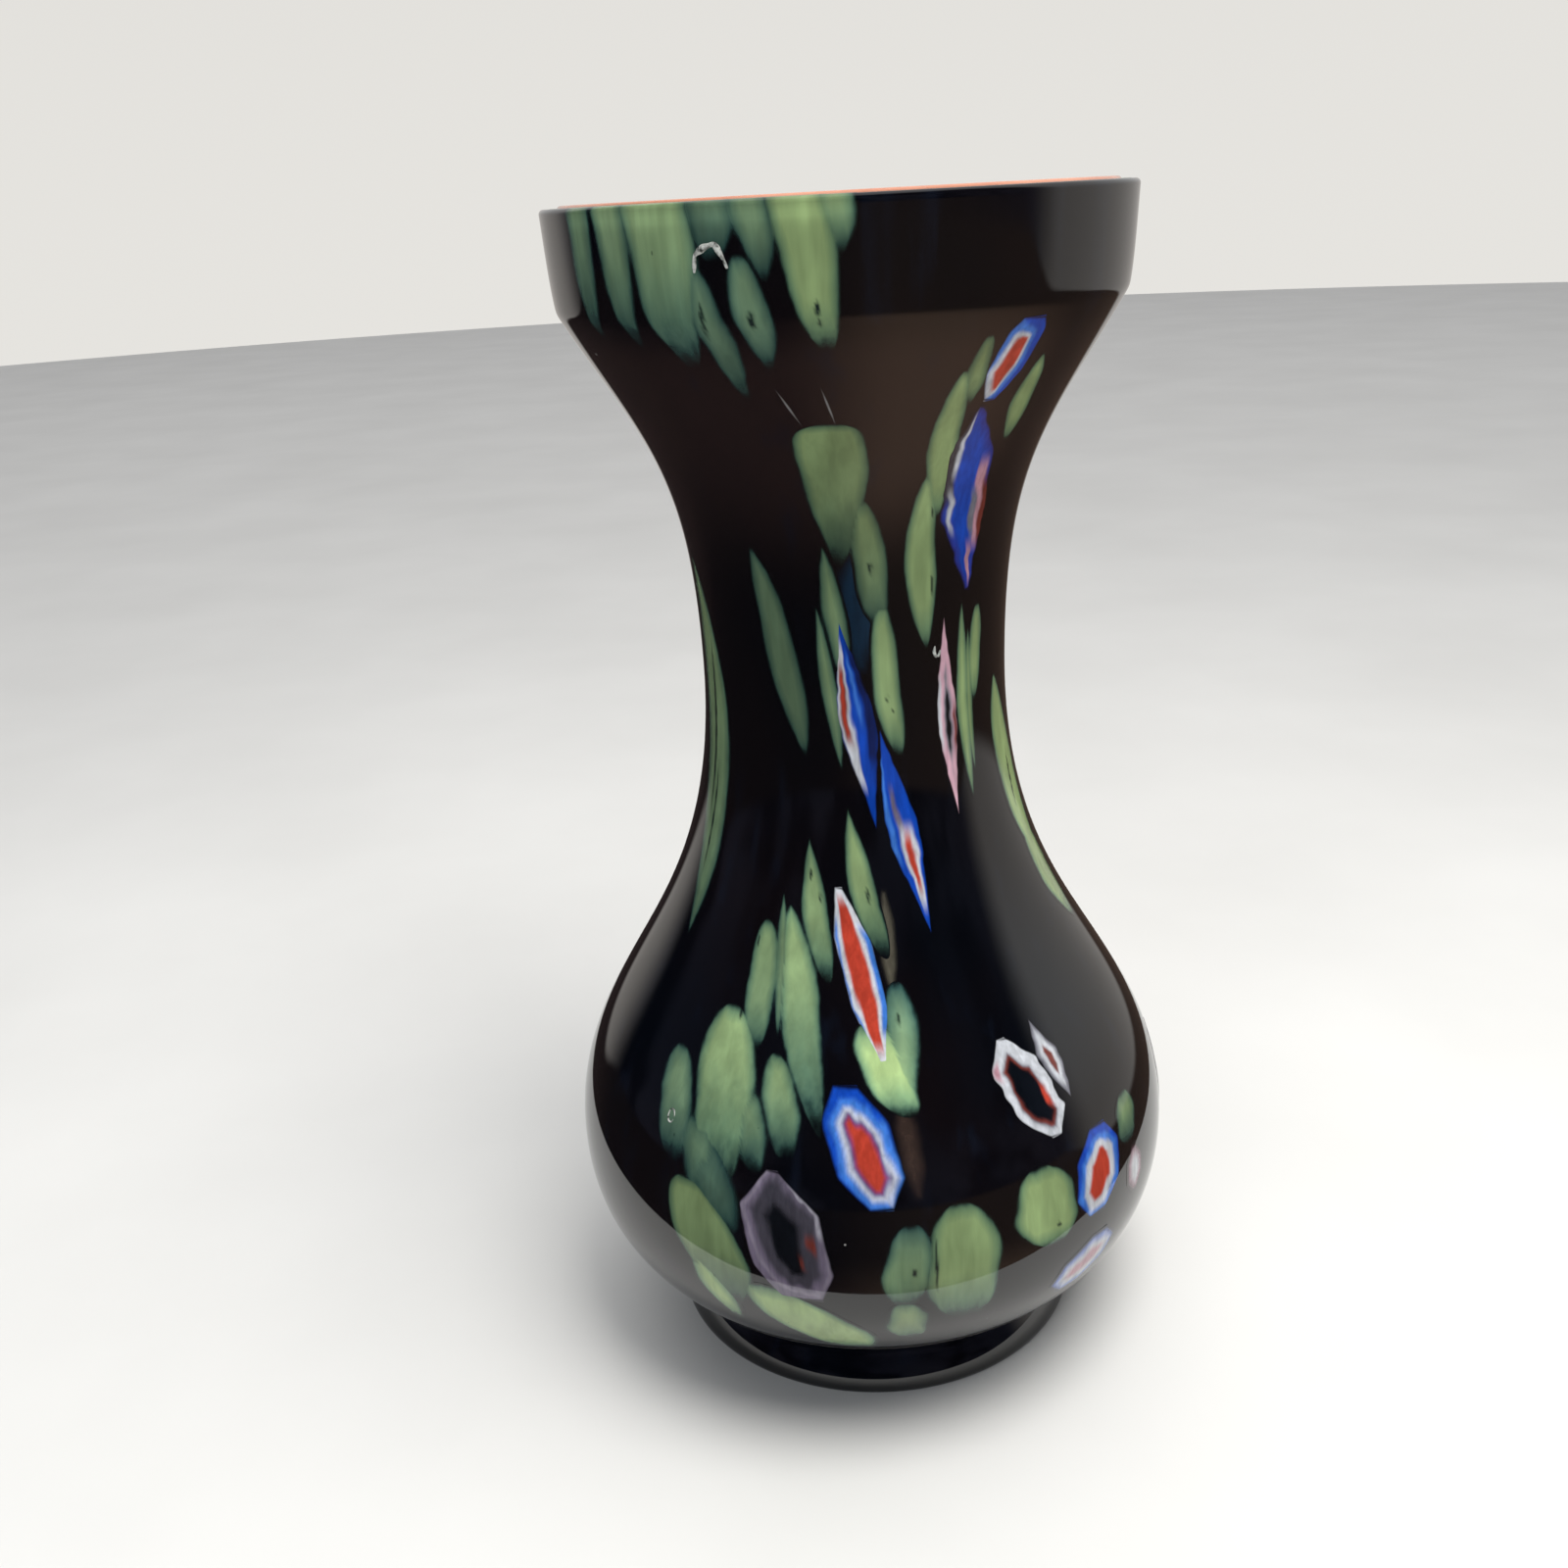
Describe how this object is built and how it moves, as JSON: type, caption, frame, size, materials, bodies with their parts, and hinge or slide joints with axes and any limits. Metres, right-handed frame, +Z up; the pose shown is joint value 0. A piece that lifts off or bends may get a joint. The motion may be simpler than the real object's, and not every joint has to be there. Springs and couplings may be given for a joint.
{
  "type": "inlaid art glass vase",
  "caption": "Round footed vase with a full bulb, narrow waist and wide collar: black glass over an orange lining, inlaid with green opal chips and slices of patterned cane.",
  "frame": {"origin": "centre of the foot's underside, on the surface that the vase stands on", "axes": "+Z up along the vase's axis of revolution, towards the mouth; -Y towards the front, where the lilac and hexagonal canes are"},
  "size_m": [0.103, 0.103, 0.19],
  "materials": {
    "black_glass": "opaque black glass, fire polished",
    "orange_glass": "opaque orange glass, fire polished",
    "green_opal": "pale green opal glass with soft teal edges, fire polished",
    "blue_cane": "cobalt blue cane with white and red layers, fire polished",
    "red_cane": "red cane core with white and blue layers, fire polished",
    "white_cane": "white cane with black and pink layers, fire polished",
    "lilac_cane": "lilac cane with a black core, fire polished"
  },
  "bodies": {
    "root": {"outer_casing": "black_glass", "inner_lining": "orange_glass", "foot": "black_glass", "chip_collar_01": "green_opal", "chip_collar_02": "green_opal", "chip_collar_03": "green_opal", "chip_collar_04": "green_opal", "chip_collar_05": "green_opal", "chip_collar_06": "green_opal", "chip_neck_01": "green_opal", "chip_neck_02": "green_opal", "chip_neck_03": "green_opal", "chip_neck_04": "green_opal", "chip_neck_05": "green_opal", "chip_neck_06": "green_opal", "chip_neck_07": "green_opal", "chip_neck_08": "green_opal", "chip_neck_09": "green_opal", "chip_bulb_01": "green_opal", "chip_bulb_02": "green_opal", "chip_bulb_03": "green_opal", "chip_bulb_04": "green_opal", "chip_bulb_05": "green_opal", "chip_bulb_06": "green_opal", "chip_bulb_07": "green_opal", "chip_bulb_08": "green_opal", "chip_bulb_09": "green_opal", "chip_bulb_10": "green_opal", "chip_bulb_11": "green_opal", "chip_bulb_12": "green_opal", "cane_collar_blue": "blue_cane", "cane_neck_blue": "blue_cane", "cane_neck_long": "blue_cane", "cane_neck_slim": "blue_cane", "cane_neck_pink": "white_cane", "cane_bulb_red": "red_cane", "cane_bulb_hexagon": "red_cane", "cane_bulb_lilac": "lilac_cane", "cane_bulb_white": "white_cane", "cane_bulb_small": "red_cane", "chip_back_01": "green_opal", "chip_back_02": "green_opal", "chip_back_03": "green_opal", "chip_back_04": "green_opal", "chip_back_05": "green_opal", "chip_back_06": "green_opal", "chip_back_07": "green_opal", "chip_back_08": "green_opal", "cane_back_funnel": "blue_cane", "cane_back_neck": "red_cane", "cane_back_hexagon": "blue_cane", "cane_back_lilac": "lilac_cane"}
  },
  "joints": []
}
